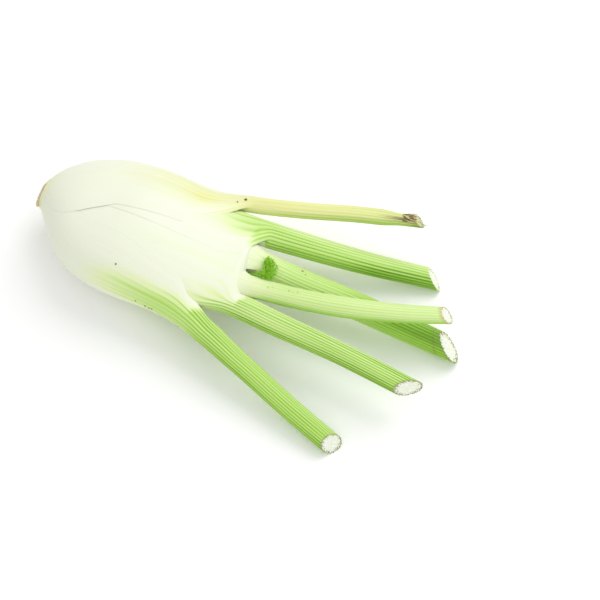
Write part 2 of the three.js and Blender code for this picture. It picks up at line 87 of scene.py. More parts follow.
# Each leaf: side is +1 where its midrib lies towards +Y. over and under are the sheath's reach from the
# midrib over the top face and the underside, in degrees, at the x beside them. The sheath starts at start,
# turns into the stalk between the neck's two x, and its upper lip between the lip's. path is the stalk's
# middle line, wide its half width at the x beside it, and flat its height as a share of that. cut leans the
# cut end sideways and upwards, and ragged is how far its edge juts in and out. ribs are the ridges round the
# stalk.
#
# The skin's green is none at 0 and deep green at 1. It rises along x between the two values of rise, to the
# first value of green at the neck and the second at the cut end. white is the turn in degrees past which the
# sheath stays white, at the x beside it. bands are strips along the leaf: the turn round the stalk, the
# strip's half width in degrees, the change of green, and the x between which it fades in. Some bands are
# painted shade, a deeper green on a stalk's shaded lower side. dried is how many millimetres of the cut end
# have browned.
LEAVES = [
    dict(
        node="leaf_outer_left",
        slot="outer_leaf_yellowed",
        side=1, thick=7.0, start=2.9,
        over=[[20, 132], [32, 121], [45, 106], [58, 94], [100, 83]],
        under=[[7, 80], [22, 70]],
        neck=(84, 124), lip=(96, 128),
        path=[[80, 41, 28], [118, 42.2, 30], [153, 49.8, 32], [189, 61.1, 33], [223.7, 71.5, 32]],
        wide=[[124, 5.5], [203, 5.1], [212, 3.9], [224, 3.8]], flat=0.86,
        cut=(-0.15, 1.0), ragged=1.3,
        ribs=16, rib_depth=0.022,
        rise=(105, 135), green=(0.1, 0.42),
        white=[[0, 180]],
        bands=[(178, 70, 0.26, 112, 150)],
        dried=9,
    ),
    dict(
        node="leaf_outer_right",
        slot="leaf_green",
        side=-1, thick=7.5, start=2.9,
        over=[[15, 67], [72, 65], [97, 58], [116, 54.6], [130, 48]],
        under=[[0, 105]],
        neck=(88, 136), lip=(110, 139),
        path=[[80, -42, 26], [125, -43.5, 24], [163, -54.7, 18], [200, -66.2, 11], [228.5, -74.1, 5.8]],
        wide=[[136, 7.4], [163, 6.4], [228, 6.2]], flat=0.85,
        cut=(-0.3, 0.8), ragged=0.35,
        ribs=24, rib_depth=0.03,
        rise=(42, 112), green=(0.56, 0.6),
        white=[[50, 62], [80, 82], [105, 88], [124, 98], [134, 180]],
        bands=[(-25, 42, -0.5, 0, 40), (-25, 42, 0.6, 118, 140), (5, 60, 0.24, 120, 150)],
        dried=0.8,
    ),
    dict(
        node="leaf_middle_left",
        slot="leaf_green",
        side=1, thick=8.0, start=6.5,
        over=[[20, 100], [104, 94], [124, 92.5], [131, 89], [137, 84.5], [140, 80.5]],
        under=[[0, 95]],
        neck=(92, 138), lip=(136, 145),
        path=[[80, 31, 27], [126, 27.4, 28], [164, 32.6, 23], [205, 42.6, 13.5], [243.4, 53, 6.2]],
        wide=[[138, 8.5], [160, 8], [185, 7.6], [243, 6.6]], flat=0.84,
        cut=(-0.32, 0.9), ragged=0.3,
        ribs=22, rib_depth=0.028,
        rise=(94, 136), green=(0.46, 0.52),
        white=[[100, 90], [120, 98], [136, 108], [143, 180]],
        # Lower side: the first band is part own colour, part painted shade; the second is painted shade.
        bands=[(172, 90, 0.2, 128, 160), (168, 75, 0.26, 180, 215), (60, 45, -0.1, 140, 160)],
        dried=0.5,
    ),
    dict(
        node="leaf_middle_right",
        slot="leaf_green",
        side=-1, thick=8.5, start=8.5,
        over=[[20, 100], [120, 115]],
        under=[[0, 95]],
        neck=(95, 142), lip=(138, 147),
        path=[[80, -31, 27], [137, -24.9, 27.5], [175, -26.9, 27], [214, -29.6, 27], [257.5, -34.2, 26]],
        wide=[[142, 7.5], [175, 7.2], [214, 6.4], [257, 6.2]], flat=0.85,
        cut=(-0.95, 0.5), ragged=0.4,
        ribs=25, rib_depth=0.03,
        rise=(94, 140), green=(0.4, 0.6),
        white=[[104, 50], [126, 64], [140, 72], [147, 80], [153, 180]],
        # The band is painted shade: deeper green on the stalk's side towards the shaded slit.
        bands=[(0, 55, 0.34, 124, 160)],
        dried=2.4,
    ),
    dict(
        node="leaf_inner_left",
        slot="leaf_green",
        side=1, thick=10.0, start=10.5,
        over=[[0, 112]],
        under=[[0, 100]],
        neck=(98, 148), lip=(118, 154),
        path=[
            [80, 18, 27], [141, 7.6, 27.5], [172, 8, 21.5], [205, 9.8, 16.3], [237, 9.7, 12.2],
            [268, 9.7, 8.6],
        ],
        wide=[[148, 8.8], [205, 8.7], [268, 7.6]], flat=0.8,
        cut=(-0.5, 1.2), ragged=0.5,
        ribs=26, rib_depth=0.018,
        rise=(132, 168), green=(0.38, 0.7),
        white=[[0, 180]],
        bands=[(100, 150, 0.26, 195, 235)],
        dried=1.6,
    ),
    dict(
        node="leaf_inner_right",
        slot="leaf_pale",
        side=-1, thick=10.0, start=12.5,
        over=[[0, 112]],
        under=[[0, 100]],
        neck=(100, 150), lip=(110, 152),
        path=[
            [80, -20, 26], [148, -11.6, 29.8], [180, -8.7, 31.9], [210, -3, 33], [237, 5.6, 32.5],
            [261.8, 15.8, 31.5],
        ],
        wide=[[138, 8], [148, 6.9], [158, 6.3], [205, 6.3], [262, 5.1]], flat=0.87,
        cut=(0.05, 0.9), ragged=0.3,
        ribs=22, rib_depth=0.016,
        rise=(132, 176), green=(0.35, 0.34),
        white=[[0, 180]],
        # The band is painted shade: deeper green on the stalk's shaded lower side.
        bands=[(-15, 60, 0.4, 145, 172)],
        dried=3.4,
    ),
]


def clamp01(x):
    return np.clip(x, 0.0, 1.0)


def smooth(a, b, x):
    """0 up to a, 1 from b, and 3t^2 - 2t^3 between them, with t the share of the way."""
    t = clamp01((x - a) / (b - a))
    return t * t * (3 - 2 * t)


def mix(a, b, t):
    return a + (b - a) * t


def swell(x, length, power, bluntness):
    """1 less the power of what is left of length, all to the bluntness: a rounded rise from 0 to 1."""
    return (1 - (1 - clamp01(x / length)) ** power) ** bluntness


def along(table, x):
    """Straight lines through a table of x and value."""
    points = np.array(table, float)
    return np.interp(x, points[:, 0], points[:, 1])


class Form:
    """The bulb's outer form and the layers under it."""

    def __init__(self, sizes):
        self.left = sizes.half_width_left / MM
        self.right = sizes.half_width_right / MM
        self.thick = sizes.half_thickness / MM
        self.root_wide = 11.5
        self.root_thick = 6.8

    def half_width(self, x, side):
        """The root's half width plus a swell along x, wider sooner on the left than on the right."""
        left = mix(self.root_wide, self.left, swell(x - ROOT_X, *LEFT_SWELL)) - 2 * smooth(70, 110, x)
        right = mix(self.root_wide, self.right, swell(x - ROOT_X, *RIGHT_SWELL))
        return np.where(side > 0, left, right)

    def half_thick(self, x):
        """The root's half thickness plus a swell along x, less a fall towards the stalks."""
        full = mix(self.root_thick, self.thick, swell(x - ROOT_X, *THICK_SWELL))
        return full - SHOULDER_FALL * smooth(62, 140, x)

    def centre_y(self, x):
        return ROOT_ASIDE * (1 - smooth(ROOT_X, ROOT_X + 33, x))

    def centre_z(self, x):
        return MIDDLE_Z + 0.5 * smooth(70, 130, x)

    def girth(self, x):
        return (self.half_width(x, 1) + self.half_width(x, -1)) / (self.left + self.right)

    def point(self, x, phi, depth):
        """On an ellipse at each x, at the angle phi from +Y towards +Z, moved in by depth, which counts for
        less in height towards the flanks."""
        c, s = np.cos(phi), np.sin(phi)
        wide, thick = self.half_width(x, c), self.half_thick(x)
        lower = depth * mix(np.minimum(1, thick / wide), 1, s * s)
        y = self.centre_y(x) + (wide - depth) * c
        z = self.centre_z(x) + (thick - lower) * s
        return np.stack(np.broadcast_arrays(x, y, z), -1)

    def reach(self, leaf, x, local):
        """The angle from a leaf's midrib to its margin, in radians."""
        return np.radians(np.where(local > 0, along(leaf["over"], x), along(leaf["under"], x)))

    def thickness(self, leaf, x, t):
        """The midrib's thickness times the cosine of t quarter turns to the power 1.2, plus the margin's."""
        lip = 1 - 0.5 * smooth(95, 136, x) * smooth(0, 0.5, t)
        body = self.girth(x) * leaf["thick"] * np.maximum(0, np.cos(t * np.pi / 2)) ** 1.2
        return body * lip + np.maximum(0.6, self.girth(x)) * MARGIN

    def depth_under(self, count, x, phi):
        """The sum, over the first count leaves, of each one's thickness and the gap inside it. Past a leaf's
        margins its share fades to nothing."""
        depth = np.zeros(np.broadcast(x, phi).shape)
        for leaf in LEAVES[:count]:
            angle = phi if leaf["side"] > 0 else np.pi - phi
            local = np.arctan2(np.sin(angle), np.cos(angle))
            t = local / self.reach(leaf, x, local)
            layer = self.thickness(leaf, x, np.clip(t, -1, 1)) + LAYER_GAP * self.girth(x)
            depth = depth + layer * (1 - smooth(1, 1.35, np.abs(t)))
        return depth


def cubic(a, b, slope_a, slope_b, t):
    """From a to b as t goes from 0 to 1, with the given slopes at the two ends."""
    return (
        (2 * t**3 - 3 * t**2 + 1) * a
        + (t**3 - 2 * t**2 + t) * slope_a
        + (3 * t**2 - 2 * t**3) * b
        + (t**3 - t**2) * slope_b
    )


def path_point(points, x):
    """A cubic through each two points, as y and z over x. Its slope at a point is that between the point's
    two neighbours."""
    p = np.array(points, float)
    n = len(p)
    k = np.arange(n)
    before, after = np.maximum(k - 1, 0), np.minimum(k + 1, n - 1)
    slope = (p[after, 1:] - p[before, 1:]) / (p[after, :1] - p[before, :1])
    i = np.clip(np.searchsorted(p[:, 0], x) - 1, 0, n - 2)
    run = (p[i + 1, 0] - p[i, 0])[:, None]
    t = (x - p[i, 0])[:, None] / run
    yz = cubic(p[i, 1:], p[i + 1, 1:], run * slope[i], run * slope[i + 1], t)
    return np.column_stack([x, yz])


def unit(v):
    return v / np.linalg.norm(v, axis=-1, keepdims=True)


def path_axes(points, x, side):
    """The middle line's points, and at each its direction, its level sideways axis and its upward axis."""
    centre = path_point(points, x)
    ahead = unit(path_point(points, x + 0.5) - path_point(points, x - 0.5))
    out = unit(np.cross([0.0, 0.0, 1.0], ahead) * side)
    up = unit(np.cross(ahead, out) * side)
    return centre, ahead, out, up


def waves(table, seed, turn, x):
    """A repeatable unevenness from -1 to 1: the mean of the table's waves. Each has its number round the
    leaf, its rate along x and its share of the seed."""
    return sum(np.sin(count * turn + rate * x + share * seed) for count, rate, share in table) / len(table)


def wander(seed, turn, x):
    return waves(SLOW_WAVES, seed, turn, x)


def streaks(seed, turn, x):
    return waves(LONG_WAVES, seed, turn, x)


def leaf_rings(form, index):
    """A leaf as rings along x. Each ring has its outer side from the lower margin to the upper, then its
    inner side back. Up to the neck it is a crescent in the bulb's layers, past it a ribbed oval round the
    stalk's middle line, and between the two a blend. Returns the points, the patterns' coordinates and the
    way that the cut end faces."""
    leaf = LEAVES[index]
    side = leaf["side"]
    end = leaf["path"][-1][0]
    last = max(leaf["neck"][1], leaf["lip"][1])
    start = leaf["start"]
    x = np.concatenate([
        start + 8 * np.linspace(0, 1, 26)[:-1] ** 1.6,
        np.linspace(start + 8, leaf["neck"][0], 66)[:-1],
        np.linspace(leaf["neck"][0], last + 2, 84)[:-1],
        np.linspace(last + 2, end - 11, 40)[:-1],
        np.linspace(end - 11, end - 0.4, 26),
        [end - 0.15, end],
    ])
    s = np.linspace(-1, 1, OUTER_POINTS)
    outer_t = mix(s, np.sin(s * np.pi / 2), 0.8)
    inner_t = np.linspace(1, -1, INNER_POINTS)
    t = np.concatenate([outer_t, inner_t])[None, :]
    outer = (np.arange(t.size) < OUTER_POINTS)[None, :]
    turn = np.radians(np.where(outer, OUTER_TURN * t, 180 - INNER_TURN * t))
    column = x[:, None]
    shape = (x.size, t.size)
    marks = {"x": np.broadcast_to(column, shape).copy(), "turn": np.broadcast_to(turn, shape).copy()}
    ridged = smooth(0.06, 0.45, leaf_green(leaf, marks))

    # The sheath.
    local = t * form.reach(leaf, column, t)
    phi = local if side > 0 else np.pi - local
    thickness = form.thickness(leaf, column, t)
    near_edge = clamp01((np.abs(t) - ROUNDED_FROM) / (1 - ROUNDED_FROM))
    rounding = 0.5 * np.minimum(thickness, 1.2) * (1 - np.sqrt(1 - near_edge**2 * 0.98))
    settle = 0.5 * (LAYER_GAP + MARGIN) * form.girth(column) * smooth(0.85, 1, np.abs(t))
    ripple = turn + 0.05 * wander(index, turn, 0)
    groove = (0.5 - 0.5 * np.cos(leaf["ribs"] * ripple)) ** 2.5 * (1 + 0.35 * wander(index + 4, turn, column))
    vein = 0.14 * (0.5 - groove) * ridged + 0.12 * wander(index + 9, turn * 2, column * 0.7)
    raised = vein * smooth(10, 60, column) * (1 - smooth(0.7, 1, np.abs(t)))
    depth = form.depth_under(index, column, phi) + settle
    inside = np.maximum(thickness - 0.3 * rounding - 0.95 * settle, rounding + 0.03)
    depth = depth + np.where(outer, rounding - raised, inside)
    sheath = form.point(column, phi, depth)

    # The stalk.
    centre, ahead, out, up = path_axes(leaf["path"], x, side)
    wide = along(leaf["wide"], column)
    rib = 1 + leaf["rib_depth"] * (1 - 2 * groove) * ridged + 0.02 * wander(index + 6, turn, column)
    sideways = wide * np.cos(turn) * rib
    upwards = leaf["flat"] * wide * np.sin(turn) * rib
    lean = (leaf["cut"][0] * sideways - leaf["cut"][1] * upwards) * clamp01((column - end) / 16 + 1)
    lean = lean + leaf["ragged"] * streaks(7, turn, 0) * clamp01((column - end) / 5 + 1)
    stalk = (
        centre[:, None]
        + out[:, None] * sideways[..., None]
        + up[:, None] * upwards[..., None]
        + ahead[:, None] * lean[..., None]
    )

    late = smooth(0, 0.7, t)
    first, done = (mix(leaf["neck"][k], leaf["lip"][k], late) for k in (0, 1))
    blend = smooth(first, done, column)
    points = mix(sheath, stalk, blend[..., None])

    marks["groove"] = groove * (0.35 + 0.65 * smooth(95, 140, column))
    marks["radius"] = np.ones(shape)
    return points, marks, ahead[-1]


def close_cut(points, marks, ahead):
    """Adds the cut face: rings that shrink from the last ring to its middle, sunk by the hollow times one
    less the square of the radius, with a small unevenness. The last ring of all is the middle itself."""
    rim = points[-1]
    middle = rim.mean(0)
    radius = np.array([0.975, 0.94, 0.89, 0.83, 0.76, 0.68, 0.6, 0.51, 0.42, 0.33, 0.24, 0.15, 0.07, 0.0])
    turn = marks["turn"][-1]
    r = radius[:, None]
    uneven = np.sin(9 * r + 3 * turn) * np.sin(5 * turn + 14 * r) * r * (1 - r)
    sink = CUT_HOLLOW * (1 - r**2) + CUT_UNEVEN * uneven
    cap = middle + (rim - middle) * r[..., None] - ahead * sink[..., None]
    marks = {k: np.concatenate([v, np.broadcast_to(v[-1], sink.shape)]) for k, v in marks.items()}
    marks["radius"][-len(radius):] = r
    marks["cut"] = np.zeros(marks["radius"].shape)
    marks["cut"][-len(radius):] = 1
    return np.concatenate([points, cap]), marks


def turn_from(marks, degrees):
    """The angle between each point's turn and the given one."""
    return np.degrees(np.abs(np.angle(np.exp(1j * (marks["turn"] - math.radians(degrees))))))


def leaf_green(leaf, marks):
    """The rise along x times the stalk's green, plus each band's change where the turn is near its middle,
    and nothing past the turn where the sheath stays white. The limits are frayed lengthwise."""
    x, turn = marks["x"], np.degrees(marks["turn"])
    end = leaf["path"][-1][0]
    stalk = mix(*leaf["green"], clamp01((x - leaf["neck"][1]) / (end - leaf["neck"][1])))
    frayed = streaks(end, marks["turn"], x)
    green = stalk * smooth(*leaf["rise"], x + 8 * frayed)
    # Bands on a stalk's lower side are painted shade, given as extra green.
    for middle, width, change, x0, x1 in leaf["bands"]:
        green = green + change * (1 - smooth(0, width, turn_from(marks, middle))) * smooth(x0, x1, x)
    limit = along(leaf["white"], x)
    kept = 1 - smooth(limit - 34, limit + 12, turn + 7 * frayed)
    return np.maximum(green, 0) * np.where(limit > 179, 1, kept)


def leaf_yellow(leaf, marks):
    """A tint beside the root. The yellowed leaf is also yellow all round its stalk, and on its sheath in a
    streak along the flank that widens towards the neck."""
    x = marks["x"]
    base = 0.5 * (1 - smooth(3, 17, x + 3 * streaks(1, marks["turn"], x)))
    if leaf["node"] != "leaf_outer_left":
        return base
    streak = (1 - smooth(8, 52, turn_from(marks, 66))) * smooth(28, 104, x) * 0.7
    smudge = np.exp(-((x - 99) / 8) ** 2 - (turn_from(marks, 78) / 11) ** 2) * 0.35
    stalk = 0.95 * smooth(98, 130, x + 7 * streaks(1, marks["turn"], x))
    return np.maximum(np.maximum(streak + smudge, stalk), base)


def leaf_brown(leaf, marks):
    """Browned over its last millimetres, unevenly round the stalk, and the yellowed leaf most of all beside
    its split. The inner left leaf has a dotted scar a few millimetres short of its cut."""
    end = leaf["path"][-1][0]
    x, turn = marks["x"], marks["turn"]
    patchy = 0.55 + 0.45 * streaks(2, turn, x)
    brown = patchy * smooth(end - leaf["dried"], end, x) * (1 - marks["cut"])
    if leaf["node"] == "leaf_outer_left":
        beside = np.exp(-(turn_from(marks, 118) / 22) ** 2)
        beside = beside * smooth(end - 26, end - 7, x + 6 * streaks(3, turn, x))
        brown = np.maximum(brown, 1.2 * beside)
    if leaf["node"] == "leaf_inner_left":
        dots = np.sin(24 * turn) ** 2 * np.exp(-((x - end + 7.5) / 0.8) ** 2)
        brown = np.maximum(brown, dots * (1 - marks["cut"]))
    return brown


def grid_faces(rows, columns):
    """The quads of a grid that closes on itself across its columns."""
    i, j = np.meshgrid(np.arange(rows - 1), np.arange(columns), indexing="ij")
    k = (j + 1) % columns
    faces = np.stack([i * columns + j, i * columns + k, (i + 1) * columns + k, (i + 1) * columns + j], -1)
    return faces.reshape(-1, 4)


def put_mesh(name, vertices, quads, polygons, patterns):
    """A mesh object at the origin, in metres over the resting spot, from points in millimetres."""
    mesh = bpy.data.meshes.new(name)
    place = (vertices - [REST_X, 0, 0]) * MM
    mesh.from_pydata(place.tolist(), [], quads.tolist() + polygons)
    for key, values in patterns.items():
        kind = "FLOAT_VECTOR" if values.ndim == 2 else "FLOAT"
        layer = mesh.attributes.new(key, kind, "POINT")
        layer.data.foreach_set("vector" if values.ndim == 2 else "value", values.astype(np.float32).ravel())
    mesh.polygons.foreach_set("use_smooth", np.ones(len(mesh.polygons), bool))
    mesh.update()
    piece = bpy.data.objects.new(name, mesh)
    bpy.context.scene.collection.objects.link(piece)
    return piece


def closed_grid(name, rings, patterns):
    """A closed body from rings with as many points each. The first ring is closed by one flat face, and the
    last one is a single point."""
    rows, columns = rings.shape[:2]
    vertices = np.concatenate([rings[:-1].reshape(-1, 3), rings[-1:, 0]])
    quads = grid_faces(rows - 1, columns)
    last = (rows - 2) * columns
    j = np.arange(columns)
    tip = np.stack([last + j, last + (j + 1) % columns, np.full(columns, len(vertices) - 1)], -1)
    flat = list(range(columns))[::-1]
    values = {k: np.concatenate([v[:-1].reshape(-1, *v.shape[2:]), v[-1:, 0]]) for k, v in patterns.items()}
    return put_mesh(name, vertices, quads, tip.tolist() + [flat], values)


def build_leaf(form, index, material):
    leaf = LEAVES[index]
    points, marks, ahead = leaf_rings(form, index)
    points, marks = close_cut(points, marks, ahead)
    points[..., 2] = np.maximum(points[..., 2], 0)
    turn, radius = marks["turn"], marks["radius"]
    patterns = {
        "grain": np.stack([radius * np.cos(turn), radius * np.sin(turn), marks["x"] * 0.01], -1),
        "green": leaf_green(leaf, marks),
        "yellow": leaf_yellow(leaf, marks),
        "brown": leaf_brown(leaf, marks),
        **{key: marks[key] for key in ("groove", "cut", "radius")},
    }
    if leaf["side"] < 0:
        points = points[:, ::-1]
        patterns = {k: v[:, ::-1] for k, v in patterns.items()}
    finish_piece(closed_grid(leaf["node"] + "_skin", points, patterns), material, leaf["node"])


CORE = [
    [-0.1, 0.62], [0.5, 0.8], [1.6, 0.9], [2.7, 0.86], [5.5, 0.98], [11, 1], [19, 0.9], [28, 0.7], [37, 0.4],
]
CORE_WIDE = 13.4
CORE_THICK = 7.9
CORE_LENGTH = 42.0


def build_root(form, material):
    """The root plate and its core: an oval at each x, its size from the table, uneven outside the sheaths.
    Its outer end is a cut face of rings about the middle, a little hollow."""
    angle = np.linspace(0, 2 * np.pi, 180, endpoint=False)[None, :]
    face = np.linspace(0.02, 1, 30)[:-1, None]
    x = np.concatenate([np.linspace(-0.1, 6, 44), np.linspace(6, CORE_LENGTH, 40)[1:]])[:, None]
    tip, blunt = CORE[-1]
    rounded = blunt * np.sqrt(clamp01((CORE_LENGTH - x) / (CORE_LENGTH - tip)))
    share = np.where(x < tip, along(CORE, x), rounded)
    outside = 1 - smooth(1.8, ROOT_X + 0.4, x)
    knobs = 0.05 * np.sin(5 * angle) + 0.03 * np.sin(9 * angle) + 0.02 * np.sin(23 * angle + 3 * x)
    share = share * (1 + knobs * outside + 0.012 * np.sin(41 * angle + 5 * x) * outside)
    along_x = np.concatenate([np.full(face.shape, -0.1), x])
    radius = np.concatenate([face * share[:1], share])
    hollow = 0.7 * (1 - face**2) + 0.12 * np.sin(7 * angle + 11 * face) + 0.1 * np.sin(19 * angle) * face
    deeper = np.concatenate([hollow, np.zeros((len(x), angle.size))])
    points = np.stack([
        along_x + deeper,
        form.centre_y(along_x) + CORE_WIDE * radius * np.cos(angle),
        form.centre_z(along_x) + CORE_THICK * radius * np.sin(angle),
    ], -1)
    ones = np.ones(radius.shape)
    patterns = {
        "along": along_x * ones,
        "radius": np.concatenate([face * ones[: len(face)], ones[len(face):]]),
        "cut": np.concatenate([ones[: len(face)], 0 * ones[len(face):]]),
    }
    finish_piece(closed_grid("root_plate_cork", points, patterns), material, "root_plate")


HEART_PATH = [[60, 0, 26], [100, -2, 26.6], [128, -2.8, 26.8], [146, -3.6, 28.2]]
HEART_START = 12
HEART_END = 140.8
STEM_WIDE = 1.9
STEM_THICK = 2.6


def build_heart(form, material):
    """The folded heart leaf: up to the neck it fills the space inside the innermost sheath, and from there it
    thins to an oval stem, ribbed lengthwise."""
    x = np.linspace(HEART_START, HEART_END, 150)[:, None]
    angle = np.linspace(0, 2 * np.pi, 120, endpoint=False)[None, :]
    inside = form.point(x, angle, form.depth_under(len(LEAVES), x, angle) + 0.3)
    centre = path_point(HEART_PATH, x[:, 0])[:, None]
    rib = 1 + 0.04 * np.cos(11 * angle)
    oval = np.broadcast_arrays(0 * x, STEM_WIDE * rib * np.cos(angle), STEM_THICK * rib * np.sin(angle))
    stem = centre + np.stack(oval, -1)
    points = mix(inside, stem, smooth(62, 116, x)[..., None])
    points = np.concatenate([points, np.broadcast_to(points[-1].mean(0) + [0.4, 0, 0], points[-1:].shape)])
    x = np.concatenate([x, x[-1:]])
    ones = np.ones(points.shape[:2])
    patterns = {
        "grain": np.stack([np.cos(angle) * ones, np.sin(angle) * ones, 0.01 * x * ones], -1),
        "green": 0.45 * smooth(110, 140, x) * ones,
    }
    finish_piece(closed_grid("heart_leaf_flesh", points, patterns), material, "heart_leaf")


FROND_RIB = [
    [141.6, -3.3, 28], [145.2, -3.4, 29.8], [148.8, -3.6, 31.6], [153.4, -3.9, 32.9], [157, -3, 33.8],
    [156.4, 0.7, 34.2], [154.2, 4.5, 34.8], [152, 7.5, 34.9],
]


def rounded_line(points, t):
    """A smooth curve through the points, t from 0 to 1: between two points a cubic whose slopes are half of
    what lies between their neighbours."""
    p = np.array(points, float)
    n = len(p) - 1
    i = np.clip((t * n).astype(int), 0, n - 1)
    u = (t * n - i)[:, None]
    before, after = p[np.maximum(i - 1, 0)], p[np.minimum(i + 2, n)]
    a, b = p[i], p[i + 1]
    return cubic(a, b, (b - before) / 2, (after - a) / 2, u)


def threads(start, reach, bend, radius, steps=5, sides=5):
    """Slim leaflets, all at once: a centre line that starts at start, runs along reach and bends by bend
    times the square of the way, with a round section that shrinks from radius to a point. Returns the points,
    the quads, the other faces and the share of the way."""
    count = len(start)
    s = np.linspace(0, 1, steps)[None, :, None]
    centre = start[:, None] + reach[:, None] * s + bend[:, None] * s**2
    ahead = unit(reach)
    out = unit(np.cross(ahead, np.array([0.31, 0.12, 0.94])))
    up = np.cross(ahead, out)
    angle = np.linspace(0, 2 * np.pi, sides, endpoint=False)
    size = radius[:, None] * (1 - s[0, :-1, 0] ** 2) ** 0.6
    ring = out[:, None] * np.cos(angle)[None, :, None] + up[:, None] * np.sin(angle)[None, :, None]
    tube = centre[:, :-1, None] + size[:, :, None, None] * ring[:, None]
    points = np.concatenate([tube.reshape(count, -1, 3), centre[:, -1:]], 1)
    each = points.shape[1]
    first = (np.arange(count) * each)[:, None, None]
    quads = grid_faces(steps - 1, sides)[None] + first
    j = np.arange(sides)
    last = (steps - 2) * sides
    tips = np.stack([last + j, last + (j + 1) % sides, np.full(sides, each - 1)], -1)[None] + first
    feet = (j[::-1])[None] + first[:, 0]
    others = tips.reshape(-1, 3).tolist() + feet.tolist()
    share = np.concatenate([np.repeat(s[0, :-1, 0], sides), [1.0]])
    return points.reshape(-1, 3), quads.reshape(-1, 4), others, np.tile(share, count)


def build_frond(material):
    """The feathery tip: shoots on both sides of a curved rib, twigs on both sides of each shoot and leaflets
    round each twig, all threads. The rib itself is a row of short threads, each inside the next."""
    random = np.random.default_rng(11)

    def scatter(*shape):
        return random.uniform(-1, 1, shape)

    t = np.linspace(0, 0.93, 40)
    rib = rounded_line(FROND_RIB, t)
    step = np.gradient(rib, axis=0)
    parts = [(rib, step * 3.0, 0 * rib, mix(1.0, 0.3, t))]

    t = np.repeat(np.linspace(0.4, 0.92, 17), 3)
    count = len(t)
    foot = rounded_line(FROND_RIB, t)
    ahead = unit(rounded_line(FROND_RIB, t + 0.02) - rounded_line(FROND_RIB, t - 0.02))
    hand = np.tile([-1.0, 1.0, 0.15], count // 3)
    way = np.stack([hand, 0 * hand, np.where(np.abs(hand) < 1, 0.9, 0.3)], -1)
    way = way + 0.7 * ahead + 0.25 * scatter(count, 3)
    length = 4.8 * (1 - 0.5 * (2 * (t - 0.4) / 0.52 - 0.9) ** 2)
    shoot = unit(way) * (length * (1 + 0.15 * scatter(count)))[:, None]
    parts.append((foot, shoot, 0.5 * scatter(count, 3), np.full(count, 0.26)))

    share = np.linspace(0.15, 0.95, 7)
    twig_foot = (foot[:, None] + shoot[:, None] * share[None, :, None]).reshape(-1, 3)
    side = np.tile(np.where(np.arange(7) % 2 == 0, 1.0, -1.0), count)[:, None]
    shoot_way = np.repeat(unit(shoot), 7, axis=0)
    aside = side * unit(np.cross(shoot_way, [0.1, 0.2, 1.0]))
    twig = unit(0.7 * shoot_way + aside + 0.45 * scatter(len(side), 3))
    twig = twig * (1.9 + 0.35 * scatter(len(side)))[:, None]
    parts.append((twig_foot, twig, 0.35 * scatter(len(side), 3), np.full(len(side), 0.2)))

    leaflet_foot = (twig_foot[:, None] + twig[:, None] * np.array([[[0.35], [0.7]]])).reshape(-1, 3)
    count = len(leaflet_foot)
    leaflet = unit(np.repeat(unit(twig), 2, axis=0) + 0.9 * scatter(count, 3))
    leaflet = leaflet * (1.1 + 0.3 * scatter(count))[:, None]
    parts.append((leaflet_foot, leaflet, 0.2 * scatter(count, 3), np.full(count, 0.17)))

    place_threads("heart_frond_leaflets", parts, material, "heart_frond")


def place_threads(name, parts, material, node):
    """One piece of several lots of threads, each given as start, reach, bend and radius."""
    points, quads, others, shares = [], [], [], []
    total = 0
    for start, reach, bend, radius in parts:
        p, q, o, s = threads(start, reach, bend, radius)
        points.append(p)
        quads.append(q + total)
        others += [[k + total for k in face] for face in o]
        shares.append(s)
        total += len(p)
    patterns = {"along": np.concatenate(shares)}
    piece = put_mesh(name, np.concatenate(points), np.concatenate(quads), others, patterns)
    finish_piece(piece, material, node)


def on_skin(form, index, x, turn):
    """The points of a leaf's skin nearest to each x and turn in degrees, and the skin's outward direction
    there, square to its two grid lines."""
    points, marks, _ = leaf_rings(form, index)
    i = np.argmin(np.abs(marks["x"][:, :1] - x), 0)
    j = np.argmin(np.abs(marks["turn"][:1, :OUTER_POINTS].T - np.radians(turn)), 0)
    across = points[i, j + 1] - points[i, j - 1]
    lengthwise = points[i + 1, j] - points[i - 1, j]
    return points[i, j], unit(np.cross(lengthwise, across)) * LEAVES[index]["side"]


def build_specks(form, index, x, turn, radius, height, material, name="specks"):
    """Small rounded spots on the skin, each as wide as its radius and height proud of it."""
    foot, outward = on_skin(form, index, np.array(x), np.array(turn))
    leaf = LEAVES[index]
    part = (foot - outward * 0.3, outward * (0.3 + height), 0 * foot, np.array(radius))
    place_threads(leaf["node"] + "_" + name, [part], material, leaf["node"])


def build_fibres(form, material):
    """The split end of the yellowed stalk: dry fibres that start under its skin and run on past the cut, bent
    outwards, most of them above."""
    random = np.random.default_rng(5)
    count = 46
    leaf = LEAVES[0]
    turn = np.concatenate([random.uniform(60, 150, 34), random.uniform(-130, 60, 12)])
    foot, outward = on_skin(form, 0, leaf["path"][-1][0] - random.uniform(0.6, 9, count), turn)
    ahead = unit(np.array([1.0, 0.3, -0.05]) + 0.12 * random.uniform(-1, 1, (count, 3)))
    reach = ahead * random.uniform(2.5, 6.5, count)[:, None]
    bend = outward * random.uniform(-0.9, 0.7, count)[:, None]
    parts = [(foot - outward * 0.25, reach, bend, random.uniform(0.16, 0.34, count))]
    place_threads("leaf_outer_left_fibres", parts, material, leaf["node"])


def finish_piece(piece, material, node):
    piece.data.materials.append(material)
    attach(piece, "root")
    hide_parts(node)


